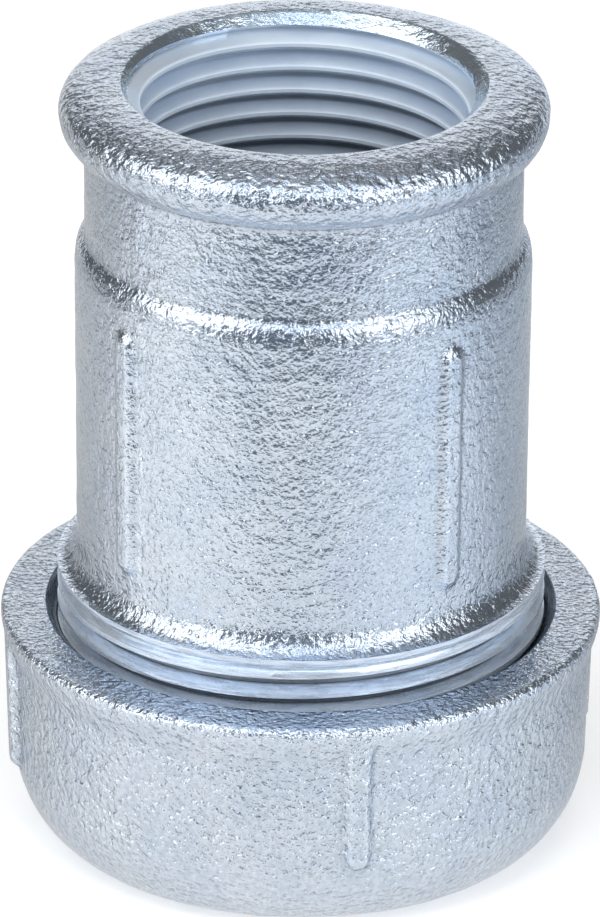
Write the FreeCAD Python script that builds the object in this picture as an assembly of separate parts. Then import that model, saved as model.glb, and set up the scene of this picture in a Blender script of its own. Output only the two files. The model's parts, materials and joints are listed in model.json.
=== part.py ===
import FreeCAD, Part
import math
import os

# Clamp coupling for steel pipe: a cast body with a female pipe thread in its collar, and a round
# nut on its lower end that squeezes a split grip ring, a washer and a rubber seal round the pipe.
# Millimetres. Z runs up the pipe's axis, with the origin at the centre of the nut's lower face.
# The front of the casting looks towards -Y. Both threads are plain cylinders at their crests or
# roots, as noted beside their sizes.

# Pipe, and the room round it
PIPE_D = 33.7            # outside diameter of the steel pipe that is clamped
SOCKET_PLAY = 0.45       # radial, in the body's socket
RING_PLAY = 0.7          # radial, in the seal and inside the grip ring's teeth
WASHER_PLAY = 0.8        # radial, in the thrust washer
NUT_PLAY = 0.9           # radial, in the nut's lip

# Collar and neck of the body
PIPE_THREAD_D = 30.291   # female pipe thread, measured at its crests
PIPE_THREAD_DEPTH = 18.5 # from the collar's face to the pipe stop
MOUTH_CHAMFER = 1.85     # 45 degree lead-in of the pipe thread
NECK_WALL = 5.15         # from the thread's crests to the neck's surface
NECK_END = 15.0          # from the collar's face down to the shoulder
COLLAR_PROUD = 2.35      # how far the collar stands out from the neck
COLLAR_HEIGHT = 6.0
COLLAR_CROWN = 2.7       # height of the rounded upper half of the collar
COLLAR_EDGE = 2.0        # radius of the crown's outer edge
COLLAR_FACE = 1.3        # width of the collar's flat face outside the chamfer

# Barrel of the body
BODY_LENGTH = 62.0
BARREL_WALL = 3.9
BARREL_TAPER = 0.2       # the barrel's radius shrinks by this towards the flare
SHOULDER_HEIGHT = 2.75   # from the neck's end to the barrel's top
HOLLOW_HEIGHT = 0.6      # of the small hollow at the neck's end
HOLLOW_PROUD = 0.45      # how far the hollow's lower edge stands out from the neck
FLARE_HEIGHT = 2.3       # blend from the barrel to the male thread
FLARE_PROUD = 1.3        # how far the flare's lower edge stands out from the barrel
BODY_RIB_COUNT = 4
BODY_RIB_ANGLE = -50.0   # of the first rib, from the front towards the right
BODY_RIB_WIDTH = 2.6
BODY_RIB_PROUD = 0.8
BODY_RIB_TOP = 1.5       # from the top of the barrel down to the tops of its ribs
BODY_RIB_FOOT = 1.9      # from the foot of the barrel up to the feet of its ribs
RIB_ROOT = 1.0           # how deep all ribs are rooted in their walls

# Male thread and the nut's thread
CLAMP_THREAD_LENGTH = 13.85
LIP_WALL = 1.9           # from the edge of the seal's seat to the male thread's crests
THREAD_PLAY = 0.1        # radial, from the male crests to the nut's thread roots
THREAD_CHAMFER = 1.2

# Seal, washer and grip ring
SEAL_HEIGHT = 9.3
SEAL_FOOT = 1.6          # height of the seal's straight foot, below its cone
SEAL_FOOT_WALL = 3.1
SEAL_TOP_WALL = 1.3
SEAL_GAP = 0.3           # round the seal in the body
SEAL_EDGE = 0.4          # chamfer of the seal's corners
WASHER_THICKNESS = 1.5
WASHER_PROUD = 0.75      # beyond the grip ring's outer edge
WASHER_EDGE = 0.25
GRIP_HEIGHT = 6.4
GRIP_TOP_WALL = 3.5
GRIP_FOOT_WALL = 1.0
GRIP_SPLIT = 4.5         # width of the slot through the grip ring
GRIP_SPLIT_ANGLE = 180.0 # of the slot, from the front towards the right
GRIP_GAP = 0.2           # round the grip ring in the nut
TOOTH_COUNT = 5
TOOTH_DEPTH = 0.55
TOOTH_LAND = 0.25        # flat crest of each tooth, as a share of its pitch

# Nut
NUT_HEIGHT = 22.5
NUT_LIP = 3.3            # thickness of the lip below the cone
NUT_EDGE = 0.5           # chamfer where the pipe enters
NUT_LEAD = 1.05          # chamfer at the top of the nut's thread
NUT_WALL = 4.4           # from the thread's roots to the nut's waist, below the rim
NUT_TAPER = 0.4          # the nut's radius shrinks by this from the waist to the foot
NUT_RIM_PROUD = 0.8
NUT_RIM_HEIGHT = 1.2
NUT_RIM_COVE = 2.5       # height of the hollow below the rim
NUT_RIM_EDGE = 0.35      # chamfer of the rim
NUT_FOOT = 2.75          # width of the flat foot round the pipe's hole
NUT_FOOT_ROUND = 5.0     # radius of the casting's lower edge, beside the foot
POCKET_GAP = 0.3         # round the washer in the nut
POCKET_ROOM = 0.4        # above the washer, before the nut's thread begins
NUT_RIB_COUNT = 4
NUT_RIB_ANGLE = 11.5     # of the first rib, from the front towards the right
NUT_RIB_WIDTH = 3.4
NUT_RIB_PROUD = 0.65
NUT_RIB_FOOT = 1.9       # from the foot of the nut's side down to the feet of its ribs
NUT_RIB_BURIED = 0.5     # how far the ribs' tops run up into the rim

# Radii and heights that follow
pipe_r = PIPE_D / 2
socket_r = pipe_r + SOCKET_PLAY
barrel_top_r = socket_r + BARREL_WALL
barrel_foot_r = barrel_top_r - BARREL_TAPER
thread_bore_r = PIPE_THREAD_D / 2
mouth_r = thread_bore_r + MOUTH_CHAMFER
neck_r = thread_bore_r + NECK_WALL
collar_r = neck_r + COLLAR_PROUD

ring_r = pipe_r + RING_PLAY
seal_foot_r = ring_r + SEAL_FOOT_WALL
seal_top_r = ring_r + SEAL_TOP_WALL
seal_slope = (seal_foot_r - seal_top_r) / (SEAL_HEIGHT - SEAL_FOOT)
grip_foot_r = ring_r + GRIP_FOOT_WALL
grip_top_r = ring_r + GRIP_TOP_WALL
grip_slope = (grip_top_r - grip_foot_r) / GRIP_HEIGHT
washer_r = grip_top_r + WASHER_PROUD
nut_hole_r = pipe_r + NUT_PLAY

grip_foot_z = NUT_LIP + GRIP_GAP
washer_z = grip_foot_z + GRIP_HEIGHT
seal_z = washer_z + WASHER_THICKNESS
seal_top_z = seal_z + SEAL_HEIGHT

seat_top_r = seal_top_r + SEAL_GAP
seat_top_z = seal_top_z + SEAL_GAP
body_foot_z = seal_z + SEAL_FOOT + SEAL_GAP
seat_mouth_r = seat_top_r + seal_slope * (seat_top_z - body_foot_z)
male_thread_r = seat_mouth_r + LIP_WALL
nut_thread_r = male_thread_r + THREAD_PLAY
nut_mouth_r = nut_thread_r + NUT_LEAD
nut_waist_r = nut_thread_r + NUT_WALL
nut_side_r = nut_waist_r - NUT_TAPER
nut_rim_r = nut_waist_r + NUT_RIM_PROUD
pocket_r = washer_r + POCKET_GAP

body_top_z = body_foot_z + BODY_LENGTH
stop_z = body_top_z - PIPE_THREAD_DEPTH
neck_foot_z = body_top_z - NECK_END
barrel_top_z = neck_foot_z - SHOULDER_HEIGHT
male_thread_top_z = body_foot_z + CLAMP_THREAD_LENGTH
barrel_foot_z = male_thread_top_z + FLARE_HEIGHT


class Outline:
    """A section beside the axis, walked corner by corner as (radius, height)."""

    def __init__(self, radius, height):
        self.first = FreeCAD.Vector(radius, 0, height)
        self.here = self.first
        self.edges = []

    def line(self, radius, height):
        """Goes straight to the next corner."""
        there = FreeCAD.Vector(radius, 0, height)
        self.edges.append(Part.makeLine(self.here, there))
        self.here = there
        return self

    def arc(self, centre, end):
        """Goes round a centre to the end, the short way; the end may be a trifle off the circle."""
        centre = FreeCAD.Vector(centre[0], 0, centre[1])
        end = FreeCAD.Vector(end[0], 0, end[1])
        radius = (self.here - centre).Length
        halfway = self.here - centre + end - centre
        middle = centre + halfway.normalize() * radius
        self.edges.append(Part.Arc(self.here, middle, end).toShape())
        self.here = end
        return self

    def leave_upright(self, radius, height):
        """Bends away from the upright wall behind it, in one arc."""
        step = radius - self.here.x
        rise = height - self.here.z
        reach = (step ** 2 + rise ** 2) / (2 * step)
        return self.arc((self.here.x + reach, self.here.z), (radius, height))

    def arrive_upright(self, radius, height):
        """Bends into the upright wall ahead of it, in one arc."""
        step = self.here.x - radius
        rise = self.here.z - height
        reach = (step ** 2 + rise ** 2) / (2 * step)
        return self.arc((radius + reach, height), (radius, height))

    def turned(self):
        """Closes the section and turns it round the Z axis."""
        self.line(self.first.x, self.first.z)
        face = Part.Face(Part.Wire(self.edges))
        solid = face.revolve(FreeCAD.Vector(0, 0, 0), FreeCAD.Vector(0, 0, 1), 360)
        return solid


def around(angle, radius, height):
    """A point at an angle from the front, counted towards the right."""
    turn = math.radians(angle)
    return FreeCAD.Vector(radius * math.sin(turn), -radius * math.cos(turn), height)


def on_wall(low, high, z):
    """The (radius, height) at a height of a leaning wall, known at two points."""
    slope = (high[0] - low[0]) / (high[1] - low[1])
    return low[0] + slope * (z - low[1]), z


def rib(angle, low, high, width, proud, top_shows):
    """A low cast rib: a round bar with a round foot, sunk in the wall until only its height shows.

    The ends are given as (radius, height) of the wall under the bar's first and last centre.
    """
    bar_r = ((width / 2) ** 2 + proud ** 2) / (2 * proud)
    foot = around(angle, low[0] + proud - bar_r, low[1])
    top = around(angle, high[0] + proud - bar_r, high[1])
    bar = Part.makeCylinder(bar_r, (top - foot).Length, foot, top - foot)
    ends = [Part.makeSphere(bar_r, foot)]
    if top_shows:
        ends.append(Part.makeSphere(bar_r, top))
    core = Part.makeCylinder(low[0] - RIB_ROOT, BODY_LENGTH, FreeCAD.Vector(0, 0, low[1] - bar_r))
    return bar.multiFuse(ends).cut(core)


def with_ribs(casting, count, first_angle, low, high, width, proud, top_shows):
    """Adds evenly spaced ribs to a turned casting."""
    ribs = []
    for number in range(count):
        angle = first_angle + number * 360.0 / count
        ribs.append(rib(angle, low, high, width, proud, top_shows))
    return casting.multiFuse(ribs).removeSplitter()


def make_fitting_body():
    """Collar, neck, barrel, flare and male thread outside; thread, stop, socket and seat inside."""
    outline = Outline(mouth_r, body_top_z)
    face_r = mouth_r + COLLAR_FACE
    crown_z = body_top_z - COLLAR_CROWN
    collar_foot_z = body_top_z - COLLAR_HEIGHT
    outline.line(face_r, body_top_z)

    # Crown of the collar: a wide arc off the flat face runs smoothly into the edge's own arc
    edge_centre_r = collar_r - COLLAR_EDGE
    reach = edge_centre_r - face_r
    crown_r = (reach ** 2 + COLLAR_CROWN ** 2 - COLLAR_EDGE ** 2) / (2 * (COLLAR_CROWN - COLLAR_EDGE))
    share = crown_r / (crown_r - COLLAR_EDGE)
    meet_r = face_r + reach * share
    meet_z = body_top_z - crown_r + (crown_r - COLLAR_CROWN) * share
    outline.arc((face_r, body_top_z - crown_r), (meet_r, meet_z))
    outline.arc((edge_centre_r, crown_z), (collar_r, crown_z))
    outline.leave_upright(neck_r, collar_foot_z)
    outline.line(neck_r, neck_foot_z)

    # Shoulder: a small hollow at the neck's end runs into a wide round edge at the barrel
    outline.leave_upright(neck_r + HOLLOW_PROUD, neck_foot_z - HOLLOW_HEIGHT)
    outline.arrive_upright(barrel_top_r, barrel_top_z)
    outline.line(barrel_foot_r, barrel_foot_z)
    outline.leave_upright(barrel_foot_r + FLARE_PROUD, male_thread_top_z)

    outline.line(male_thread_r, male_thread_top_z)
    outline.line(male_thread_r, body_foot_z + THREAD_CHAMFER)
    outline.line(male_thread_r - THREAD_CHAMFER, body_foot_z)
    outline.line(seat_mouth_r, body_foot_z)
    outline.line(seat_top_r, seat_top_z)
    outline.line(socket_r, seat_top_z)
    stop_step = socket_r - thread_bore_r
    outline.line(socket_r, stop_z - stop_step)
    outline.line(thread_bore_r, stop_z)
    outline.line(thread_bore_r, body_top_z - MOUTH_CHAMFER)

    wall = (barrel_foot_r, barrel_foot_z), (barrel_top_r, barrel_top_z)
    rib_low = on_wall(*wall, barrel_foot_z + BODY_RIB_FOOT + BODY_RIB_WIDTH / 2)
    rib_high = on_wall(*wall, barrel_top_z - BODY_RIB_TOP - BODY_RIB_WIDTH / 2)
    return with_ribs(outline.turned(), BODY_RIB_COUNT, BODY_RIB_ANGLE, rib_low, rib_high,
                     BODY_RIB_WIDTH, BODY_RIB_PROUD, True)


def make_clamping_nut():
    """Rim, side and rounded foot outside; lip, cone, pocket and thread inside."""
    cove_foot_z = NUT_HEIGHT - NUT_RIM_HEIGHT - NUT_RIM_COVE
    rim_foot_z = NUT_HEIGHT - NUT_RIM_HEIGHT
    foot_r = nut_hole_r + NUT_FOOT
    outline = Outline(nut_hole_r + NUT_EDGE, 0)
    outline.line(foot_r, 0)

    # Rounding: the foot's own arc turns up to 45 degrees, and a wider one carries on to the side
    turn = math.radians(45)
    edge_r = foot_r + NUT_FOOT_ROUND * math.sin(turn)
    edge_z = NUT_FOOT_ROUND * (1 - math.cos(turn))
    side_round = (nut_side_r - edge_r) / (1 - math.cos(turn))
    side_foot_z = edge_z + side_round * math.sin(turn)
    outline.arc((foot_r, NUT_FOOT_ROUND), (edge_r, edge_z))
    outline.arc((nut_side_r - side_round, side_foot_z), (nut_side_r, side_foot_z))
    outline.line(nut_waist_r, cove_foot_z)
    outline.leave_upright(nut_rim_r, rim_foot_z)
    outline.line(nut_rim_r, NUT_HEIGHT - NUT_RIM_EDGE)
    outline.line(nut_rim_r - NUT_RIM_EDGE, NUT_HEIGHT)
    outline.line(nut_mouth_r, NUT_HEIGHT)

    # Thread and its run-out, washer pocket, cone of the grip ring, lip
    outline.line(nut_thread_r, NUT_HEIGHT - NUT_LEAD)
    pocket_top_z = seal_z + POCKET_ROOM
    outline.line(nut_thread_r, pocket_top_z + nut_thread_r - pocket_r)
    outline.line(pocket_r, pocket_top_z)
    pocket_floor_z = washer_z - POCKET_GAP
    outline.line(pocket_r, pocket_floor_z)
    cone_gap = GRIP_GAP * math.sqrt(1 + grip_slope ** 2)
    cone_top_r = grip_top_r - grip_slope * POCKET_GAP + cone_gap
    cone_foot_r = grip_foot_r - grip_slope * GRIP_GAP + cone_gap
    outline.line(cone_top_r, pocket_floor_z)
    outline.line(cone_foot_r, NUT_LIP)
    outline.line(nut_hole_r, NUT_LIP)
    outline.line(nut_hole_r, NUT_EDGE)

    # Ribs: they lean with the side and run up into the rim, where their flat tops are buried
    wall = (nut_side_r, side_foot_z), (nut_waist_r, cove_foot_z)
    rib_low = on_wall(*wall, side_foot_z - NUT_RIB_FOOT + NUT_RIB_WIDTH / 2)
    rib_high = on_wall(*wall, rim_foot_z + NUT_RIB_BURIED)
    return with_ribs(outline.turned(), NUT_RIB_COUNT, NUT_RIB_ANGLE, rib_low, rib_high,
                     NUT_RIB_WIDTH, NUT_RIB_PROUD, False)


def make_grip_ring():
    """Cone outside, and inside teeth that let the pipe in upwards and bite when it pulls back."""
    pitch = GRIP_HEIGHT / TOOTH_COUNT
    root_r = ring_r + TOOTH_DEPTH
    outline = Outline(root_r, grip_foot_z)
    outline.line(grip_foot_r, grip_foot_z)
    outline.line(grip_top_r, washer_z)
    outline.line(ring_r, washer_z)
    for number in range(TOOTH_COUNT - 1, 0, -1):
        step_z = grip_foot_z + number * pitch
        outline.line(ring_r, step_z + (1 - TOOTH_LAND) * pitch)
        outline.line(root_r, step_z)
        outline.line(ring_r, step_z)
    outline.line(ring_r, grip_foot_z + (1 - TOOTH_LAND) * pitch)
    ring = outline.turned()

    slot = Part.makeBox(GRIP_SPLIT, grip_top_r + 1, GRIP_HEIGHT + 2)
    slot.translate(FreeCAD.Vector(-GRIP_SPLIT / 2, -grip_top_r - 1, grip_foot_z - 1))
    slot.rotate(FreeCAD.Vector(0, 0, 0), FreeCAD.Vector(0, 0, 1), GRIP_SPLIT_ANGLE)
    return ring.cut(slot)


def make_thrust_washer():
    """Flat ring with broken edges, lying on the grip ring."""
    hole_r = pipe_r + WASHER_PLAY
    outline = Outline(hole_r, washer_z)
    outline.line(washer_r - WASHER_EDGE, washer_z)
    outline.line(washer_r, washer_z + WASHER_EDGE)
    outline.line(washer_r, seal_z - WASHER_EDGE)
    outline.line(washer_r - WASHER_EDGE, seal_z)
    outline.line(hole_r, seal_z)
    return outline.turned()


def make_seal_ring():
    """Straight foot on the washer and a cone that reaches up into the body's seat."""
    edge_r = seal_top_r + seal_slope * SEAL_EDGE
    outline = Outline(ring_r, seal_z)
    outline.line(seal_foot_r - SEAL_EDGE, seal_z)
    outline.line(seal_foot_r, seal_z + SEAL_EDGE)
    outline.line(seal_foot_r, seal_z + SEAL_FOOT)
    outline.line(edge_r, seal_top_z - SEAL_EDGE)
    outline.line(seal_top_r - SEAL_EDGE, seal_top_z)
    outline.line(ring_r, seal_top_z)
    return outline.turned()


PIECES = {
    "fitting_body": make_fitting_body,
    "clamping_nut": make_clamping_nut,
    "grip_ring": make_grip_ring,
    "thrust_washer": make_thrust_washer,
    "seal_ring": make_seal_ring,
}

os.makedirs("parts", exist_ok=True)
for name, make in PIECES.items():
    shape = make()
    box = shape.optimalBoundingBox()
    print(name, "valid", shape.isValid(), "solids", len(shape.Solids), "volume", round(shape.Volume, 1),
          "radius", round(box.XMax, 2), "from", round(box.ZMin, 2), "to", round(box.ZMax, 2))
    shape.exportStep("parts/" + name + ".step")
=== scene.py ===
import json
import math

import bmesh
import bpy
import numpy as np
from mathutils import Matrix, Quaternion, Vector, noise


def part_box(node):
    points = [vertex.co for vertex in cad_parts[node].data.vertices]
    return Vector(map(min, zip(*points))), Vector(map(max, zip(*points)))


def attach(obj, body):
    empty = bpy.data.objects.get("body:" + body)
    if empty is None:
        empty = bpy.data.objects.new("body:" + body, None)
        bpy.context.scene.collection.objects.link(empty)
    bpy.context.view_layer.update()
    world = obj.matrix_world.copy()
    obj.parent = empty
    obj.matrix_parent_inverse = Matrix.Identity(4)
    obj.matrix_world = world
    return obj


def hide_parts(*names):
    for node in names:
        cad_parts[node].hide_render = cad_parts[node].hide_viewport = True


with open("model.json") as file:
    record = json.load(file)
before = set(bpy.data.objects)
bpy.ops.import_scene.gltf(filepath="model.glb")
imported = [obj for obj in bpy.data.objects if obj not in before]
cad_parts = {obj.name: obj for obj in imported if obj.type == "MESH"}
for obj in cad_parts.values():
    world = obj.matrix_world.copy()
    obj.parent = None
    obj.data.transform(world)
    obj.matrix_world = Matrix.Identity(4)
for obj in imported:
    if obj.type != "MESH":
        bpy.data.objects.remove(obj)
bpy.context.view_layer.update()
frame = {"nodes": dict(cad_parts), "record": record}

# Clamp coupling for steel pipe. The cast body and the cast nut are modelled anew, with cut threads and
# a rough cast skin, over the turned solids of the frame; the three inner rings keep their solids.
# Lengths in this script are millimetres until a mesh is made. The front of the casting faces -Y.
MM = 0.001
mounts = {mount["name"]: mount for mount in frame["record"]["mounts"]}


def box_mm(node):
    """The lowest and highest corner of a node, in millimetres."""
    return [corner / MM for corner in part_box(node)]


# Sizes that the frame gives
body_low, body_high = box_mm("fitting_body")
nut_low, nut_high = box_mm("clamping_nut")
BODY_FOOT_Z = body_low.z
BODY_TOP_Z = body_high.z
MALE_CREST_R = body_high.x
NUT_TOP_Z = nut_high.z
NUT_RIM_R = nut_high.x
PIPE_CREST_R = mounts["pipe_thread"]["dims"]["r_mm"]
PIPE_THREAD_LENGTH = mounts["pipe_thread"]["dims"]["length_mm"]
SOCKET_R = mounts["pipe_socket"]["dims"]["r_mm"]

# Heights and radii of the body's casting
MOUTH_CHAMFER = 1.85
STOP_Z = BODY_TOP_Z - MOUTH_CHAMFER - PIPE_THREAD_LENGTH
MOUTH_R = PIPE_CREST_R + MOUTH_CHAMFER
NECK_R = 20.3
COLLAR_R = 22.65
BARREL_TOP_R = 21.2
BARREL_FOOT_R = 21.0
FLARE_R = 22.3
MALE_TOP_Z = BODY_FOOT_Z + 13.85
BARREL_FOOT_Z = MALE_TOP_Z + 2.3
COLLAR_FOOT_Z = BODY_TOP_Z - 6.0
NECK_FOOT_Z = BODY_TOP_Z - 15.0
BARREL_TOP_Z = NECK_FOOT_Z - 2.75
COLLAR_FACE = 1.3        # width of the collar's flat face
COLLAR_CROWN = 2.7       # height of its rounded upper half
COLLAR_EDGE = 2.0        # radius of the crown's outer edge
HOLLOW_PROUD = 0.45      # of the small hollow at the neck's foot
HOLLOW_HEIGHT = 0.6
BODY_SOFTEN = 0.3        # over this length the outline's corners are softened

# Foot of the body, and the seal's seat in it
SEAT_MOUTH_R = 20.95
SEAT_TOP_R = 19.15
SEAT_TOP_Z = 21.0

# Nut
NUT_MOUTH_R = 24.0
NUT_WAIST_R = 27.35
NUT_SIDE_R = 26.95
NUT_HOLE_R = 17.75
NUT_FOOT_R = 20.5
NUT_FOOT_ROUND = 5.0
NUT_LIP = 3.3
NUT_RIM_EDGE = 0.35      # chamfer of the rim
NUT_RIM_HEIGHT = 1.2
NUT_WAIST_DROP = 3.7     # from the rim's top to the waist
NUT_EDGE = 0.5           # chamfer where the pipe enters
NUT_SOFTEN = 0.5
FOOT_TURN = 45           # degrees that the foot's own round goes before the side's wider one
CONE_FOOT_R = 18.84      # inner cone, which squeezes the grip ring
CONE_TOP_R = 21.15
POCKET_R = 22.1
POCKET_FLOOR_Z = 9.6
POCKET_TOP_Z = 11.8

# Threads
CLAMP_PITCH = 2.0
CLAMP_DEPTH = 1.2
CLAMP_START = 25.5       # height of a male crest in front
CLAMP_PLAY = 0.1
PIPE_PITCH = 25.4 / 11
PIPE_DEPTH = 1.479
PIPE_START = 69.0        # height of a female crest in front
CLAMP_STOPS = (-0.11, 0.11, 0.26, 0.41, 0.59, 0.74)
PIPE_STOPS = (-0.07, 0.07, 0.25, 0.455, 0.545, 0.75)
CREST_END, FLANK_END = 1, 3    # the stops where a crest and a flank end
MALE_RUNOUT = (0.6, 1.6)       # from plain to full depth, below the thread's top
PIPE_RUNOUT = (0.5, 2.5)       # the same, above the pipe stop
NUT_RUNOUT = 1.2               # the same, above the pocket
NUT_CREST_CUT = 0.1            # flattens the crests of the nut's thread

# Ribs: their turns are degrees from the front towards the right, a quarter turn apart
RIB_BACK = 0.35          # share of half the width that the flat back takes
RIB_FLANK_END = 1.1      # and where the flanks have run out
BODY_RIBS = [-50 + 90 * number for number in range(4)]
BODY_RIB_TOP = 1.5       # from the barrel's top down to their tops
BODY_RIB_FOOT = 1.9      # from the barrel's foot up to their feet
BODY_RIB_WIDTH = 2.9
BODY_RIB_PROUD = 0.6
NUT_RIBS = [11.5 + 90 * number for number in range(4)]
NUT_RIB_FOOT_Z = 7.4
NUT_RIB_WIDTH = 2.7
NUT_RIB_BACK = 0.5
NUT_RIB_HEIGHTS = (6.0, 21.0)
NUT_RIB_CREST_R = (27.7, 28.15)    # at these heights
NUT_RIB_FADE_R = (26.0, 26.8)      # on the rim's top face, a rib begins between these

# Mesh
OUTLINE_STEP = 0.06      # between the points of an outline
COLUMN_TURN = 1.08       # degrees between columns, apart from the ribs
RIB_COLUMN_TURN = 0.5
RIB_SPREAD = 7.0         # degrees of finer columns at each side of a rib
STEP = 0.36              # between the rows of a cast skin
EDGE_ROWS = 2            # rows beside a skin's edges over which its lumps fade out
JOIN_REACH = 0.004       # points of two bands that lie this close are one
SHARP_TURN = 50          # degrees between faces, above which their edge stays sharp
LUMPS = [(5.0, 0.05), (1.9, 0.035), (0.95, 0.02)]    # waves of a cast skin: length and height
WAVE_SHIFT = 17.3        # takes each wave from another place of the noise
WAVE_START = (5.1, 9.7)


def smooth(low, high, value):
    """0 below low, 1 above high, and a soft rise between them."""
    share = np.clip((value - low) / (high - low), 0, 1)
    return share * share * (3 - 2 * share)


class Outline:
    """A section beside the axis as a dense row of (radius, height), walked from corner to corner."""

    def __init__(self, radius, height):
        self.points = [(radius, height)]

    def line(self, radius, height):
        r, z = self.points[-1]
        count = max(2, int(math.hypot(radius - r, height - z) / OUTLINE_STEP))
        for number in range(1, count + 1):
            share = number / count
            self.points.append((r + (radius - r) * share, z + (height - z) * share))

    def arc(self, centre, radius, height):
        """Goes round a centre to the end, the short way."""
        r, z = self.points[-1]
        start = math.atan2(z - centre[1], r - centre[0])
        turn = math.atan2(height - centre[1], radius - centre[0]) - start
        turn = (turn + math.pi) % (2 * math.pi) - math.pi
        size = math.hypot(r - centre[0], z - centre[1])
        count = max(4, int(abs(turn) * size / OUTLINE_STEP))
        for number in range(1, count + 1):
            angle = start + turn * number / count
            self.points.append((centre[0] + size * math.cos(angle), centre[1] + size * math.sin(angle)))

    def leave_upright(self, radius, height):
        """An arc that starts upright."""
        r, z = self.points[-1]
        reach = ((radius - r) ** 2 + (height - z) ** 2) / (2 * (radius - r))
        self.arc((r + reach, z), radius, height)

    def arrive_upright(self, radius, height):
        """An arc that ends upright."""
        r, z = self.points[-1]
        reach = ((r - radius) ** 2 + (z - height) ** 2) / (2 * (r - radius))
        self.arc((radius + reach, height), radius, height)

    def rows(self, step, soften):
        """Even rows along the outline, with its corners softened over a length, apart from its ends."""
        points = np.array(self.points)
        reach = max(1, int(soften / OUTLINE_STEP))
        before = np.repeat(points[:1], reach, 0)
        after = np.repeat(points[-1:], reach, 0)
        padded = np.concatenate([before, points, after])
        window = np.hanning(2 * reach + 3)[1:-1]
        window /= window.sum()
        soft = np.stack([np.convolve(padded[:, axis], window, "valid") for axis in (0, 1)], 1)
        along = np.concatenate([[0], np.cumsum(np.hypot(*np.diff(soft, axis=0).T))])
        fade = np.minimum(along, along[-1] - along)
        fade = smooth(0, soften, fade)[:, None]
        soft = points * (1 - fade) + soft * fade
        along = np.concatenate([[0], np.cumsum(np.hypot(*np.diff(soft, axis=0).T))])
        wanted = np.linspace(0, along[-1], max(2, round(along[-1] / step) + 1))
        return np.interp(wanted, along, soft[:, 0]), np.interp(wanted, along, soft[:, 1])


def finer_at(ribs):
    """Turns of the columns of a casting, in radians, with finer steps beside its ribs."""
    turns = []
    turn = 0.0
    while turn < 360 - RIB_COLUMN_TURN / 2:
        turns.append(math.radians(turn))
        away = min(abs((turn - centre + 180) % 360 - 180) for centre in ribs)
        turn += RIB_COLUMN_TURN if away < RIB_SPREAD else COLUMN_TURN
    return np.array(turns)


# Surfaces, by the order of their materials on a piece
CAST, TURNED, BORE = 0, 1, 2


class Casting:
    """A closed mesh made of bands of quads round the Z axis."""

    def __init__(self, ribs):
        self.turn = finer_at(ribs)
        self.columns = len(self.turn)
        self.points = []
        self.faces = []
        self.slots = []
        self.count = 0

    def band(self, r, z, slot, shift=0):
        """Adds a grid of rows and columns. A thread's rows climb one turn, so its seam shifts rows."""
        rows = r.shape[0]
        x = r * np.sin(self.turn)
        y = -r * np.cos(self.turn)
        self.points.append(np.stack([x, y, z], -1).reshape(-1, 3))
        here, column = np.meshgrid(np.arange(rows - 1), np.arange(self.columns), indexing="ij")
        across = (column + 1) % self.columns
        jump = np.where(column + 1 == self.columns, shift, 0)
        near = np.clip(here + jump, 0, rows - 1)
        far = np.clip(here + 1 + jump, 0, rows - 1)
        quads = np.stack([here * self.columns + column, near * self.columns + across,
                          far * self.columns + across, (here + 1) * self.columns + column], -1)
        self.faces.append(quads.reshape(-1, 4) + self.count)
        self.slots.append(np.full(quads.shape[0] * quads.shape[1], slot))
        self.count += rows * self.columns

    def ring(self, corners, slot):
        """Adds plain turned surfaces through a row of (radius, height) corners."""
        r = np.array([[corner[0]] * self.columns for corner in corners])
        z = np.array([[corner[1]] * self.columns for corner in corners])
        self.band(r, z, slot)

    def thread(self, low, high, pitch, start, stops, radius, slot):
        """Adds a right-hand thread between two heights, with a crest at start in front.

        Each turn has a row at every stop, a share of the pitch above the middle of the crest.
        """
        first = math.floor((low - start) / pitch) - 2
        last = math.ceil((high - start) / pitch) + 1
        rows = (np.arange(first, last)[:, None] + np.array(stops)).reshape(-1, 1)
        climb = self.turn / (2 * math.pi)
        height = np.clip(start + pitch * (rows + climb), low, high)
        phase = (height - start) / pitch - climb
        self.band(radius(phase, height), height, slot, len(stops))

    def piece(self, name, node, materials):
        """Makes the object in metres and puts it in the place of its node."""
        mesh = bpy.data.meshes.new(name)
        points = np.concatenate(self.points) * MM
        mesh.from_pydata(points.tolist(), [], np.concatenate(self.faces).tolist())
        mesh.polygons.foreach_set("material_index", np.concatenate(self.slots).astype(np.int32))
        for material in materials:
            mesh.materials.append(material)
        close_seams(mesh)
        made = bpy.data.objects.new(name, mesh)
        bpy.context.scene.collection.objects.link(made)
        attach(made, body_names[node])
        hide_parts(node)


body_names = {}
for body, members in frame["record"]["behaviour"]["bodies"].items():
    for member in members:
        body_names[member] = body


def close_seams(mesh):
    """Joins the bands along their shared rings, turns all normals outwards and smooths the faces."""
    build = bmesh.new()
    build.from_mesh(mesh)
    bmesh.ops.remove_doubles(build, verts=build.verts, dist=JOIN_REACH * MM)
    bmesh.ops.recalc_face_normals(build, faces=build.faces)
    build.to_mesh(mesh)
    build.free()
    mesh.shade_smooth()
    mesh.set_sharp_from_angle(angle=math.radians(SHARP_TURN))


def rough(points, waves):
    """Sums soft noise over points; each wave is a length and a height."""
    total = np.zeros(len(points))
    for number, (length, height) in enumerate(waves):
        shift = Vector((WAVE_SHIFT * number, *WAVE_START))
        total += height * np.array([noise.noise(Vector(p) / length + shift) for p in points.tolist()])
    return total


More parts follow.
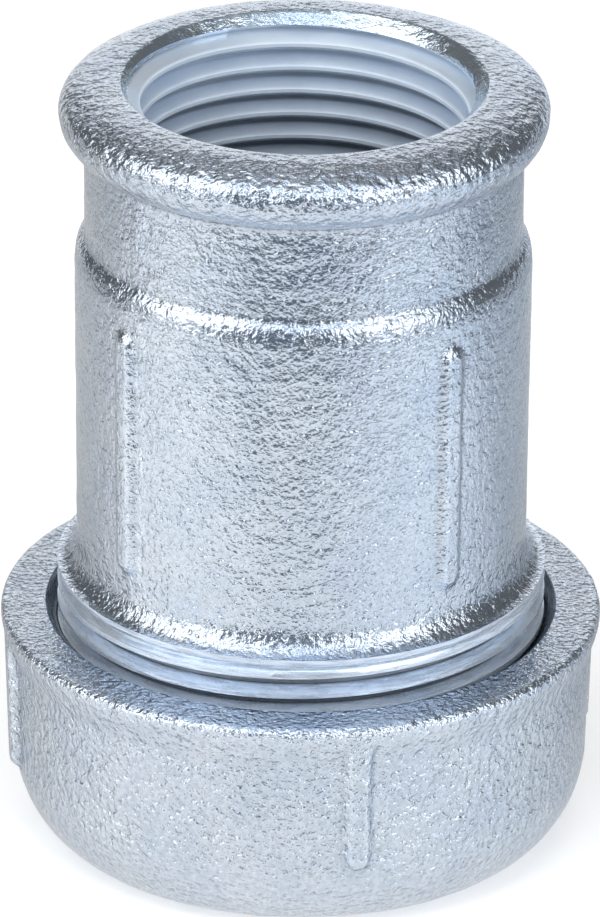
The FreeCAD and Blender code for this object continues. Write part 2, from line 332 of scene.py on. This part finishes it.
def skin(casting, rows, low, high, lift):
    """Adds a cast skin along an outline's rows: soft lumps everywhere, and a lift for its ribs.

    The skin stays between the lowest and the highest corner of its node.
    """
    row_r, row_z = rows
    tangent = np.gradient(np.stack([row_r, row_z], 1), axis=0)
    tangent /= np.linalg.norm(tangent, axis=1)[:, None]
    r = np.repeat(row_r[:, None], casting.columns, 1)
    z = np.repeat(row_z[:, None], casting.columns, 1)
    points = np.stack([r * np.sin(casting.turn), -r * np.cos(casting.turn), z], -1).reshape(-1, 3)
    lump = rough(points, LUMPS).reshape(r.shape)
    step = np.arange(len(row_r))
    fade = smooth(0, EDGE_ROWS, np.minimum(step, step[::-1]))[:, None]
    r = r - tangent[:, 1:] * lump * fade
    z = z + tangent[:, :1] * lump * fade
    r = r + lift(r, z, casting.turn)
    casting.band(np.minimum(r, high.x), np.clip(z, low.z, high.z), CAST)


def rib(turn, centre, r, z, low, high, width, height, back=RIB_BACK):
    """Height of one rib above its wall: a flat back, soft flanks and round ends."""
    side = (turn - math.radians(centre) + math.pi) % (2 * math.pi) - math.pi
    across = np.abs(side) * r / (width / 2)
    along = np.maximum(np.maximum(low + width / 2 - z, z - high + width / 2), 0) / (width / 2)
    return height * (1 - smooth(back, RIB_FLANK_END, np.hypot(across, along)))


def cut_thread(root_r, crest_r, stops):
    """Radius of a thread by its phase: the crest lies at whole turns, with a flat crest and root."""
    start_share, end_share = stops[CREST_END], stops[FLANK_END]

    def radius(phase):
        away = np.abs((phase + 0.5) % 1 - 0.5)
        share = np.clip((away - start_share) / (end_share - start_share), 0, 1)
        return crest_r + (root_r - crest_r) * share
    return radius


def body_skin_lift(r, z, turn):
    """The body's ribs run along the barrel."""
    high = BARREL_TOP_Z - BODY_RIB_TOP
    low = BARREL_FOOT_Z + BODY_RIB_FOOT
    return sum(rib(turn, centre, r, z, low, high, BODY_RIB_WIDTH, BODY_RIB_PROUD) for centre in BODY_RIBS)


def make_body(materials):
    """Cast outside from the mouth down to the flare, cut threads, and the turned bore."""
    casting = Casting(BODY_RIBS)
    face_r = MOUTH_R + COLLAR_FACE
    crown = COLLAR_CROWN
    edge = COLLAR_EDGE
    outline = Outline(MOUTH_R, BODY_TOP_Z)
    outline.line(face_r, BODY_TOP_Z)
    reach = COLLAR_R - edge - face_r
    crown_r = (reach ** 2 + crown ** 2 - edge ** 2) / (2 * (crown - edge))
    share = crown_r / (crown_r - edge)
    outline.arc((face_r, BODY_TOP_Z - crown_r), face_r + reach * share,
                BODY_TOP_Z - crown_r + (crown_r - crown) * share)
    outline.arc((COLLAR_R - edge, BODY_TOP_Z - crown), COLLAR_R, BODY_TOP_Z - crown)
    outline.leave_upright(NECK_R, COLLAR_FOOT_Z)
    outline.line(NECK_R, NECK_FOOT_Z)
    outline.leave_upright(NECK_R + HOLLOW_PROUD, NECK_FOOT_Z - HOLLOW_HEIGHT)
    outline.arrive_upright(BARREL_TOP_R, BARREL_TOP_Z)
    outline.line(BARREL_FOOT_R, BARREL_FOOT_Z)
    outline.leave_upright(FLARE_R, MALE_TOP_Z)
    skin(casting, outline.rows(STEP, BODY_SOFTEN), body_low, body_high, body_skin_lift)

    male_root_r = MALE_CREST_R - CLAMP_DEPTH
    ridge = cut_thread(male_root_r, MALE_CREST_R, CLAMP_STOPS)

    def male(phase, height):
        runout = smooth(MALE_TOP_Z - MALE_RUNOUT[0], MALE_TOP_Z - MALE_RUNOUT[1], height)
        r = MALE_CREST_R + (ridge(phase) - MALE_CREST_R) * runout
        return np.minimum(r, male_root_r + height - BODY_FOOT_Z)

    casting.ring([(FLARE_R, MALE_TOP_Z), (MALE_CREST_R, MALE_TOP_Z)], CAST)
    casting.thread(BODY_FOOT_Z, MALE_TOP_Z, CLAMP_PITCH, CLAMP_START, CLAMP_STOPS, male, TURNED)
    casting.ring([(male_root_r, BODY_FOOT_Z), (SEAT_MOUTH_R, BODY_FOOT_Z), (SEAT_TOP_R, SEAT_TOP_Z),
                  (SOCKET_R, SEAT_TOP_Z), (SOCKET_R, STOP_Z - SOCKET_R + PIPE_CREST_R),
                  (PIPE_CREST_R, STOP_Z)], BORE)

    groove = cut_thread(PIPE_CREST_R + PIPE_DEPTH, PIPE_CREST_R, PIPE_STOPS)

    def female(phase, height):
        runout = smooth(STOP_Z + PIPE_RUNOUT[0], STOP_Z + PIPE_RUNOUT[1], height)
        r = PIPE_CREST_R + (groove(phase) - PIPE_CREST_R) * runout
        return np.maximum(r, MOUTH_R - BODY_TOP_Z + height)

    casting.thread(STOP_Z, BODY_TOP_Z, PIPE_PITCH, PIPE_START, PIPE_STOPS, female, BORE)
    casting.piece("cast_body", "fitting_body", materials)


def nut_skin_lift(r, z, turn):
    """The nut's ribs run down from the rim, and lean in with the nut's side."""
    crest_r = np.interp(z, NUT_RIB_HEIGHTS, NUT_RIB_CREST_R)
    ends = (NUT_RIB_FOOT_Z, NUT_TOP_Z)
    share = sum(rib(turn, centre, r, z, *ends, NUT_RIB_WIDTH, height=1, back=NUT_RIB_BACK)
                for centre in NUT_RIBS)
    return np.maximum(crest_r - r, 0) * share * smooth(*NUT_RIB_FADE_R, r)


def make_nut(materials):
    """Cast outside, the cut thread, the washer's pocket and the cone of the grip ring."""
    casting = Casting(NUT_RIBS)
    turn = math.radians(FOOT_TURN)
    edge_r = NUT_FOOT_R + NUT_FOOT_ROUND * math.sin(turn)
    edge_z = NUT_FOOT_ROUND * (1 - math.cos(turn))
    side_round = (NUT_SIDE_R - edge_r) / (1 - math.cos(turn))
    side_foot_z = edge_z + side_round * math.sin(turn)
    outline = Outline(NUT_MOUTH_R, NUT_TOP_Z)
    outline.line(NUT_RIM_R - NUT_RIM_EDGE, NUT_TOP_Z)
    outline.line(NUT_RIM_R, NUT_TOP_Z - NUT_RIM_EDGE)
    outline.line(NUT_RIM_R, NUT_TOP_Z - NUT_RIM_HEIGHT)
    outline.line(NUT_WAIST_R, NUT_TOP_Z - NUT_WAIST_DROP)
    outline.line(NUT_SIDE_R, side_foot_z)
    outline.arc((NUT_SIDE_R - side_round, side_foot_z), edge_r, edge_z)
    outline.arc((NUT_FOOT_R, NUT_FOOT_ROUND), NUT_FOOT_R, 0)
    outline.line(NUT_HOLE_R + NUT_EDGE, 0)
    skin(casting, outline.rows(STEP, NUT_SOFTEN), nut_low, nut_high, nut_skin_lift)
    casting.ring([(NUT_HOLE_R + NUT_EDGE, 0), (NUT_HOLE_R, NUT_EDGE), (NUT_HOLE_R, NUT_LIP),
                  (CONE_FOOT_R, NUT_LIP), (CONE_TOP_R, POCKET_FLOOR_Z),
                  (POCKET_R, POCKET_FLOOR_Z), (POCKET_R, POCKET_TOP_Z)], TURNED)

    groove_r = MALE_CREST_R + CLAMP_PLAY
    ridge = cut_thread(groove_r - CLAMP_DEPTH, groove_r, CLAMP_STOPS)

    def female(phase, height):
        runout = smooth(POCKET_TOP_Z, POCKET_TOP_Z + NUT_RUNOUT, height)
        r = np.maximum(ridge(phase), groove_r - CLAMP_DEPTH + NUT_CREST_CUT)
        r = groove_r + (r - groove_r) * runout
        r = np.minimum(r, POCKET_R + height - POCKET_TOP_Z)
        return np.maximum(r, NUT_MOUTH_R - NUT_TOP_Z + height)

    casting.thread(POCKET_TOP_Z, NUT_TOP_Z, CLAMP_PITCH, CLAMP_START, CLAMP_STOPS, female, TURNED)
    casting.piece("cast_nut", "clamping_nut", materials)


def material(name, colour, metallic, roughness):
    """A new node material, with its tree and its main shader."""
    made = bpy.data.materials.new(name)
    made.use_nodes = True
    main = made.node_tree.nodes["Principled BSDF"]
    main.inputs["Base Color"].default_value = (*colour, 1)
    main.inputs["Metallic"].default_value = metallic
    main.inputs["Roughness"].default_value = roughness
    return made, made.node_tree, main


def noise_node(tree, length, detail, roughness=0.5, stretch=(1, 1, 1)):
    """Noise over the object's own coordinates, with lumps of about the given length in millimetres."""
    place = tree.nodes.new("ShaderNodeTexCoord")
    scale = tree.nodes.new("ShaderNodeMapping")
    scale.inputs["Scale"].default_value = [1 / (length * MM) * s for s in stretch]
    tree.links.new(place.outputs["Object"], scale.inputs["Vector"])
    made = tree.nodes.new("ShaderNodeTexNoise")
    made.inputs["Scale"].default_value = 1
    made.inputs["Detail"].default_value = detail
    made.inputs["Roughness"].default_value = roughness
    tree.links.new(scale.outputs["Vector"], made.inputs["Vector"])
    return made.outputs["Fac"]


def ramp(tree, source, low_tone, high_tone, low=0.3, high=0.7):
    """An even change from one colour or grey to another while the source goes from low to high."""
    made = tree.nodes.new("ShaderNodeValToRGB")
    for element, place, tone in zip(made.color_ramp.elements, (low, high), (low_tone, high_tone)):
        element.position = place
        element.color = (*tone, 1) if isinstance(tone, tuple) else (tone, tone, tone, 1)
    tree.links.new(source, made.inputs["Fac"])
    return made.outputs["Color"]


def bump(tree, height, depth, before=None):
    """Bump of a depth in millimetres, over an earlier bump."""
    made = tree.nodes.new("ShaderNodeBump")
    made.inputs["Distance"].default_value = depth * MM
    tree.links.new(height, made.inputs["Height"])
    if before is not None:
        tree.links.new(before, made.inputs["Normal"])
    return made.outputs["Normal"]


def math_node(tree, operation, first, second=None):
    """One step of arithmetic on a node's output or a number."""
    made = tree.nodes.new("ShaderNodeMath")
    made.operation = operation
    for place, value in enumerate((first, second)):
        if isinstance(value, (int, float)):
            made.inputs[place].default_value = value
        elif value is not None:
            tree.links.new(value, made.inputs[place])
    return made.outputs[0]


def blend(tree, value, low, high, low_tone, high_tone):
    """A soft change from one tone to the other while a value goes from low to high."""
    made = tree.nodes.new("ShaderNodeMapRange")
    made.interpolation_type = "SMOOTHSTEP"
    ends = {"From Min": low, "From Max": high, "To Min": low_tone, "To Max": high_tone}
    for name, number in ends.items():
        if isinstance(number, (int, float)):
            made.inputs[name].default_value = number
        else:
            tree.links.new(number, made.inputs[name])
    tree.links.new(value, made.inputs["Value"])
    return made.outputs["Result"]


def mix(tree, share, low_tone, high_tone):
    """One tone where the share is 0, and the other where it is 1."""
    return blend(tree, share, 0.0, 1.0, low_tone, high_tone)


def split(tree, source):
    """The x, y and z of a vector."""
    made = tree.nodes.new("ShaderNodeSeparateXYZ")
    tree.links.new(source, made.inputs[0])
    return made.outputs["X"], made.outputs["Y"], made.outputs["Z"]


def shaded(tree, colour, shade):
    """A colour made darker or lighter by a number."""
    made = tree.nodes.new("ShaderNodeVectorMath")
    made.operation = "SCALE"
    tree.links.new(colour, made.inputs[0])
    tree.links.new(shade, made.inputs["Scale"])
    return made.outputs[0]


def distance_to(tree, place, centre=(0, 0, 0)):
    """Distance of a place from a centre."""
    made = tree.nodes.new("ShaderNodeVectorMath")
    made.operation = "DISTANCE"
    tree.links.new(place, made.inputs[0])
    made.inputs[1].default_value = centre
    return made.outputs["Value"]


def own_place(tree):
    """Coordinates on the object itself, in metres."""
    return tree.nodes.new("ShaderNodeTexCoord").outputs["Object"]


def own_height(tree):
    """Height on the object itself, in metres."""
    return split(tree, own_place(tree))[2]


def own_radius(tree):
    """Distance from the object's axis, in metres."""
    flat = tree.nodes.new("ShaderNodeVectorMath")
    flat.operation = "MULTIPLY"
    tree.links.new(own_place(tree), flat.inputs[0])
    flat.inputs[1].default_value = (1, 1, 0)
    return distance_to(tree, flat.outputs[0])


def span(place, low, high):
    """Two places in metres, so many millimetres beyond one of the sizes above."""
    return (place + low) * MM, (place + high) * MM


def patches(tree, length, low_tone, high_tone):
    """Wide soft patches of two colours."""
    return ramp(tree, noise_node(tree, length, detail=3), low_tone, high_tone, low=0.35, high=0.65)


# Cast zinc on the collar's crown: how much deeper its lumps and grain are than elsewhere
CROWN_START = span(COLLAR_FOOT_Z, 0, 2.5)
CROWN_LUMPS = 2.3
CROWN_GRAIN = 1.25
CAST_LUMP_LENGTH = 1.1
CAST_PIT_LENGTH = 0.55

# Turned zinc: outwards between these radii, the painted shade of a thread's depth turns to its full tone
MALE_ROOT_SHADE_SPAN = span(MALE_CREST_R, -1.19, -0.95)
FEMALE_ROOT_SHADE_SPAN = span(NUT_MOUTH_R, -0.1, 0.1)

# Zinc in the bore: where its painted shade changes
BORE_DEEP_SHADE_SPAN = span(BODY_TOP_Z, -10, -3)       # the roots are darker below
BORE_DEPTH_SPAN = span(BODY_TOP_Z, -18, -4)      # all is darker below
BORE_ROOT_SHADE_SPAN = span(PIPE_CREST_R, 1.1, 1.45)
BORE_FLANK_SPAN = span(PIPE_CREST_R, 0.05, 0.3)  # the crests are less metallic than the flanks
MOUTH_SPAN = span(BODY_TOP_Z - MOUTH_CHAMFER, 0.2, 0.7)
MOUTH_ROUGHNESS = 0.2
BORE_RELIEF = 0.02       # strength of the wrinkles on the thread
MOUTH_RELIEF = 0.4       # and on the mouth's chamfer


def cast_zinc(name, speckle, lump_depth, pit_depth, grain_length, grain_depth):
    """Zinc coat on a rough casting: soft lumps, small pits and a fine grain, rougher on the collar, with
    painted shade where it is hollow and painted light on its ridges.
    """
    made, tree, main = material(name, (0.69, 0.76, 0.86), metallic=1, roughness=0.15)
    colour = patches(tree, length=6, low_tone=(0.66, 0.74, 0.85), high_tone=(0.73, 0.8, 0.885))
    grain = noise_node(tree, grain_length, detail=2)
    speckles = blend(tree, grain, low=0.3, high=0.7, low_tone=1 - speckle, high_tone=1 + speckle)
    # painted shade and light: the colour is darker where the surface is hollow and paler where it is
    # pointed
    pointiness = tree.nodes.new("ShaderNodeNewGeometry").outputs["Pointiness"]
    hollow_shade_ridge_light = blend(tree, pointiness, low=0.44, high=0.56, low_tone=0.82, high_tone=1.12)
    shade = math_node(tree, "MULTIPLY", speckles, hollow_shade_ridge_light)
    tree.links.new(shaded(tree, colour, shade), main.inputs["Base Color"])
    tree.links.new(ramp(tree, grain, low_tone=0.22, high_tone=0.12), main.inputs["Roughness"])
    crown = blend(tree, own_height(tree), *CROWN_START, 1.0, CROWN_LUMPS)
    lumps = math_node(tree, "MULTIPLY", noise_node(tree, CAST_LUMP_LENGTH, detail=1), crown)
    pits = noise_node(tree, CAST_PIT_LENGTH, detail=1)
    pits = blend(tree, pits, low=0.24, high=0.44, low_tone=0.0, high_tone=1.0)
    grain_share = blend(tree, crown, 1.0, CROWN_LUMPS, 1.0, CROWN_GRAIN)
    relief = bump(tree, lumps, lump_depth)
    relief = bump(tree, pits, pit_depth, relief)
    relief = bump(tree, math_node(tree, "MULTIPLY", grain, grain_share), grain_depth, relief)
    tree.links.new(relief, main.inputs["Normal"])
    return made


def turned_zinc(name, metallic, shade_span, root_shade):
    """Smooth coat on a turned thread, scored along its turns, with painted shade towards its roots."""
    made, tree, main = material(name, (0.77, 0.82, 0.89), metallic, roughness=0.26)
    colour = patches(tree, length=5, low_tone=(0.71, 0.81, 0.94), high_tone=(0.77, 0.86, 0.97))
    scores = noise_node(tree, length=0.22, detail=2, stretch=(0.08, 0.08, 1))
    scratches = blend(tree, scores, low=0.35, high=0.6, low_tone=0.82, high_tone=1.06)
    # painted shade: the colour darkens inwards, into the thread's roots and the nut's gap, where shade
    # falls
    roots = blend(tree, own_radius(tree), *shade_span, low_tone=root_shade, high_tone=1.0)
    shade = math_node(tree, "MULTIPLY", roots, scratches)
    tree.links.new(shaded(tree, colour, shade), main.inputs["Base Color"])
    tree.links.new(ramp(tree, scores, low_tone=0.32, high_tone=0.18), main.inputs["Roughness"])
    tree.links.new(bump(tree, scores, depth=0.05), main.inputs["Normal"])
    return made


def bore_zinc():
    """Dull coat on the thread inside with painted shade at its roots and downwards, and bright wrinkles in
    the mouth.
    """
    made, tree, main = material("bore_zinc", (0.7, 0.77, 0.86), metallic=0.35, roughness=0.35)
    colour = patches(tree, length=4, low_tone=(0.66, 0.755, 0.87), high_tone=(0.72, 0.81, 0.92))
    radius = own_radius(tree)
    z = own_height(tree)
    mouth = blend(tree, z, *MOUTH_SPAN, low_tone=0.0, high_tone=1.0)
    # painted shade: the roots are painted darker, and more so deeper down
    root_shade = blend(tree, z, *BORE_DEEP_SHADE_SPAN, low_tone=0.45, high_tone=0.85)
    roots = blend(tree, radius, *BORE_ROOT_SHADE_SPAN, low_tone=1.0, high_tone=root_shade)
    roots = mix(tree, mouth, roots, 1.0)
    # painted shade and light: all of it is darker deep in the bore and paler near the mouth
    fall = blend(tree, z, *BORE_DEPTH_SPAN, low_tone=0.7, high_tone=1.15)
    shade = math_node(tree, "MULTIPLY", roots, fall)
    tree.links.new(shaded(tree, colour, shade), main.inputs["Base Color"])
    sheen = blend(tree, radius, *BORE_FLANK_SPAN, low_tone=0.15, high_tone=0.55)
    tree.links.new(mix(tree, mouth, sheen, 1.0), main.inputs["Metallic"])
    wrinkles = noise_node(tree, length=0.45, detail=3, roughness=0.6, stretch=(0.4, 0.4, 1))
    dullness = ramp(tree, wrinkles, low_tone=0.38, high_tone=0.28)
    tree.links.new(mix(tree, mouth, dullness, MOUTH_ROUGHNESS), main.inputs["Roughness"])
    relief = bump(tree, wrinkles, depth=0.5)
    tree.links.new(mix(tree, mouth, BORE_RELIEF, MOUTH_RELIEF), relief.node.inputs["Strength"])
    tree.links.new(relief, main.inputs["Normal"])
    return made


def ring_steel():
    """Coated steel of the grip ring and the washer, scored along their turns."""
    made, tree, main = material("ring_steel", (0.66, 0.69, 0.72), metallic=1, roughness=0.32)
    scores = noise_node(tree, length=0.2, detail=3, stretch=(0.1, 0.1, 1))
    colour = ramp(tree, scores, low_tone=(0.58, 0.61, 0.66), high_tone=(0.7, 0.73, 0.76))
    tree.links.new(colour, main.inputs["Base Color"])
    tree.links.new(ramp(tree, scores, low_tone=0.4, high_tone=0.28), main.inputs["Roughness"])
    tree.links.new(bump(tree, scores, depth=0.01), main.inputs["Normal"])
    return made


def seal_rubber():
    """Matt black rubber with a fine grain."""
    made, tree, main = material("seal_rubber", (0.03, 0.03, 0.032), metallic=0, roughness=0.55)
    grain = noise_node(tree, length=0.35, detail=3)
    colour = ramp(tree, grain, low_tone=(0.022, 0.022, 0.024), high_tone=(0.042, 0.042, 0.044))
    tree.links.new(colour, main.inputs["Base Color"])
    tree.links.new(ramp(tree, grain, low_tone=0.62, high_tone=0.48), main.inputs["Roughness"])
    tree.links.new(bump(tree, grain, depth=0.02), main.inputs["Normal"])
    return made


body_zinc = cast_zinc("body_zinc", speckle=0.05, lump_depth=0.16, pit_depth=0.05,
                      grain_length=0.34, grain_depth=0.11)
nut_zinc = cast_zinc("nut_zinc", speckle=0.08, lump_depth=0.3, pit_depth=0.06,
                     grain_length=0.46, grain_depth=0.28)
male_zinc = turned_zinc("male_zinc", 0.65, MALE_ROOT_SHADE_SPAN, root_shade=0.3)
female_zinc = turned_zinc("female_zinc", 1.0, FEMALE_ROOT_SHADE_SPAN, root_shade=0.28)
make_body([body_zinc, male_zinc, bore_zinc()])
make_nut([nut_zinc, female_zinc])
steel = ring_steel()
for node, finish in (("grip_ring", steel), ("thrust_washer", steel), ("seal_ring", seal_rubber())):
    mesh = frame["nodes"][node].data
    mesh.materials.clear()
    mesh.materials.append(finish)


# Camera, at the photo's place: it looks down at the middle of the fitting from the front
FRAME_HEIGHT = 917           # pixels
SENSOR = 36
LOOK_DOWN = math.radians(25.1)
DISTANCE = 1000
FOCUS_PIXELS = 10708
ROLL = math.radians(0.45)
RIGHT_SHIFT_PIXELS = 1.9
AIM_Z = BODY_TOP_Z - 38.3
CLIP_END = 10                # metres

data = bpy.data.cameras.new("camera")
data.sensor_width = SENSOR
data.lens = FOCUS_PIXELS * SENSOR / FRAME_HEIGHT
data.shift_x = -RIGHT_SHIFT_PIXELS / FRAME_HEIGHT
data.clip_end = CLIP_END
camera = bpy.data.objects.new("camera", data)
bpy.context.scene.collection.objects.link(camera)
bpy.context.scene.camera = camera
back = Vector((0, -math.cos(LOOK_DOWN), math.sin(LOOK_DOWN)))
camera.location = (Vector((0, 0, AIM_Z)) + back * DISTANCE) * MM
camera.rotation_mode = "QUATERNION"
camera.rotation_quaternion = (-back).to_track_quat("-Z", "Y") @ Quaternion((0, 0, 1), ROLL)


# Studio: a white table in a dim room, with a backdrop behind, a key light above in front and a softbox
# at each side. Tones are shares of white, and the metal mirrors all of them but the fill's.
WHITE = (1.0, 1.0, 1.0)

# The table, with painted light and shade as the metal mirrors it: each pair of places, in metres from the
# axis, is where a change starts and ends
FLOOR_R = 2.5
FLOOR_GLOW = 0.35            # lifts what the camera sees towards white
TABLE_TONE = 0.92
# a painted pool of light in a ring round the fitting
LIGHT_POOL_TONE = 1.16
LIGHT_POOL_START = (0.06, 0.11)
LIGHT_POOL_END = (0.13, 0.18)
# painted light and shade by turns, going round
SWING = 0.05                 # how much paler and darker the table gets by turns, going round
SWING_COUNT = 3.0
SWING_START = (0.03, 0.1)
# painted shade: the light falls off to the right
SIDE_FALL = 1.2              # for each metre to the right
# painted shade behind the fitting
BACK_SHADE_SHARE = 0.56
BACK_START = (-0.04, 0.04)
BACKDROP_START = (0.16, 0.3)
FRONT_END = (0.08, 0.22)
SIDE_END = (0.22, 0.38)
RIGHT_COOL = 6.0             # how fast the table turns cool for each metre to the right
RIGHT_COOL_MOST = 0.6
TABLE_COOL = (0.84, 0.97, 1.13)

# The room: each pair is where a change starts and ends, in the direction that the metal looks in, which
# is a vector of length 1
ROOM_TONE = 0.15             # low in front
ROOM_FRONT_TONE = 0.34
ROOM_BACK_TONE = 0.13
ROOM_DEPTH = (-0.9, 0.3)
LOW_TOP = (0.1, 0.5)
LOW_END = (-0.6, 0.0)
CEILING_TONE = 0.46
CEILING_START = (0.75, 1.0)
KEY_TONE = 1.8
KEY_PLACE = (0, -0.42, 0.9)
KEY_EDGE = (0.12, 0.34)
BACKDROP_TONE = 1.1
BACKDROP_SIDE = (0.2, 0.6)   # to the side, as a share of the way back
BACKDROP_TOP = (0.28, 0.75)
LEAST_BACK = 0.001           # keeps that share from being divided by nothing
ROOM_COOL = (0.84, 0.96, 1.14)
COOL_END = (-0.6, 0.3)
COOL_BACK = 0.15             # what is left of it behind
FILL_TONE = 0.3              # lights all that isn't a mirror


def table_painted_light(tree, place):
    """What the metal sees of the floor: a painted pool of light in a ring in front, and painted shade
    behind and to the right.
    """
    x, y = split(tree, place)[:2]
    ahead = math_node(tree, "MULTIPLY", y, -1.0)
    turn = math_node(tree, "ARCTAN2", x, ahead)
    wave = math_node(tree, "COSINE", math_node(tree, "MULTIPLY", turn, SWING_COUNT))
    length = distance_to(tree, place)
    swing = blend(tree, length, *SWING_START, 0.0, SWING)
    tone = blend(tree, length, *LIGHT_POOL_START, TABLE_TONE, LIGHT_POOL_TONE)
    tone = blend(tree, length, *LIGHT_POOL_END, tone, TABLE_TONE)
    tone = math_node(tree, "SUBTRACT", tone, math_node(tree, "MULTIPLY", wave, swing))
    right = math_node(tree, "MAXIMUM", x, 0.0)
    tone = math_node(tree, "SUBTRACT", tone, math_node(tree, "MULTIPLY", right, SIDE_FALL))
    tone = math_node(tree, "MULTIPLY", tone, blend(tree, y, *BACK_START, 1.0, BACK_SHADE_SHARE))
    tone = blend(tree, y, *BACKDROP_START, tone, BACKDROP_TONE)
    tone = blend(tree, ahead, *FRONT_END, tone, ROOM_TONE)
    return blend(tree, math_node(tree, "ABSOLUTE", x), *SIDE_END, tone, ROOM_TONE)


def table_tint(tree, place):
    """White, but cool to the right and far in front."""
    x, y = split(tree, place)[:2]
    ahead = math_node(tree, "MULTIPLY", y, -1.0)
    right = math_node(tree, "MINIMUM", math_node(tree, "MULTIPLY", x, RIGHT_COOL), RIGHT_COOL_MOST)
    cool = math_node(tree, "MAXIMUM", right, blend(tree, ahead, *FRONT_END, 0.0, 1.0))
    return ramp(tree, cool, WHITE, TABLE_COOL, low=0, high=1)


def make_floor():
    """Floor that is white to the camera, and a table top with painted light and shade in the metal's
    mirror.
    """
    build = bmesh.new()
    bmesh.ops.create_circle(build, cap_ends=True, segments=96, radius=FLOOR_R)
    mesh = bpy.data.meshes.new("floor")
    build.to_mesh(mesh)
    build.free()
    made, tree, main = material("floor_white", (0.88, 0.88, 0.88), metallic=0, roughness=0.9)
    main.inputs["Specular IOR Level"].default_value = 0.1
    main.inputs["Emission Color"].default_value = (*WHITE, 1)
    path = tree.nodes.new("ShaderNodeLightPath")
    tree.links.new(math_node(tree, "MULTIPLY", path.outputs["Is Camera Ray"], FLOOR_GLOW),
                   main.inputs["Emission Strength"])
    place = tree.nodes.new("ShaderNodeNewGeometry").outputs["Position"]
    mirrored = tree.nodes.new("ShaderNodeEmission")
    tree.links.new(table_painted_light(tree, place), mirrored.inputs["Strength"])
    tree.links.new(table_tint(tree, place), mirrored.inputs["Color"])
    pick = tree.nodes.new("ShaderNodeMixShader")
    tree.links.new(path.outputs["Is Glossy Ray"], pick.inputs[0])
    tree.links.new(main.outputs[0], pick.inputs[1])
    tree.links.new(mirrored.outputs[0], pick.inputs[2])
    tree.links.new(pick.outputs[0], tree.nodes["Material Output"].inputs["Surface"])
    mesh.materials.append(made)
    floor = bpy.data.objects.new("floor", mesh)
    bpy.context.scene.collection.objects.link(floor)


def room_tone(tree, place):
    """What the metal sees of the room: a dim wall, a lighter ceiling, the key light and the backdrop."""
    x, y, z = split(tree, place)
    wall = blend(tree, y, *ROOM_DEPTH, ROOM_FRONT_TONE, ROOM_BACK_TONE)
    low = blend(tree, z, *LOW_TOP, ROOM_TONE, wall)
    tone = blend(tree, y, *LOW_END, low, wall)
    tone = blend(tree, z, *CEILING_START, tone, CEILING_TONE)
    tone = blend(tree, distance_to(tree, place, KEY_PLACE), *KEY_EDGE, KEY_TONE, tone)
    back = math_node(tree, "MAXIMUM", y, LEAST_BACK)
    across = math_node(tree, "DIVIDE", math_node(tree, "ABSOLUTE", x), back)
    inside = blend(tree, across, *BACKDROP_SIDE, 1.0, 0.0)
    inside = math_node(tree, "MULTIPLY", inside, blend(tree, z, *BACKDROP_TOP, 1.0, 0.0))
    return mix(tree, inside, tone, BACKDROP_TONE)


def make_room():
    """The camera sees white, the metal sees the room, and an even fill lights the rest."""
    world = bpy.data.worlds.new("studio")
    bpy.context.scene.world = world
    world.use_nodes = True
    tree = world.node_tree
    sky = tree.nodes["Background"]
    path = tree.nodes.new("ShaderNodeLightPath")
    place = tree.nodes.new("ShaderNodeTexCoord").outputs["Generated"]
    cool = blend(tree, split(tree, place)[1], *COOL_END, 1.0, COOL_BACK)
    cool = math_node(tree, "MULTIPLY", path.outputs["Is Glossy Ray"], cool)
    tree.links.new(ramp(tree, cool, WHITE, ROOM_COOL, low=0, high=1), sky.inputs["Color"])
    strength = mix(tree, path.outputs["Is Glossy Ray"], FILL_TONE, room_tone(tree, place))
    strength = mix(tree, path.outputs["Is Camera Ray"], strength, 1.0)
    tree.links.new(strength, sky.inputs["Strength"])


def softbox(name, azimuth, elevation, distance, width, height, power):
    """A rectangular lamp that looks at the fitting; its turn is counted from the front to the right.

    Its distance and sizes are metres.
    """
    turn = math.radians(azimuth)
    rise = math.radians(elevation)
    away = Vector((math.sin(turn) * math.cos(rise), -math.cos(turn) * math.cos(rise), math.sin(rise)))
    data = bpy.data.lights.new(name, "AREA")
    data.shape = "RECTANGLE"
    data.size = width
    data.size_y = height
    data.energy = power
    lamp = bpy.data.objects.new(name, data)
    bpy.context.scene.collection.objects.link(lamp)
    lamp.location = away * distance + Vector((0, 0, AIM_Z * MM))
    lamp.rotation_mode = "QUATERNION"
    lamp.rotation_quaternion = away.to_track_quat("Z", "Y")
    lamp.visible_camera = False
    return lamp


make_floor()
make_room()
softbox("left_box", azimuth=-60, elevation=32, distance=0.7, width=0.7, height=0.85, power=3.0)
softbox("right_box", azimuth=45, elevation=24, distance=0.7, width=0.62, height=0.66, power=2.1)
top_box = softbox("top_box", azimuth=0, elevation=62, distance=0.9, width=0.5, height=0.5, power=3.0)
top_box.visible_glossy = False    # the room's key light is what the metal mirrors there

bpy.context.scene.view_settings.view_transform = "Standard"
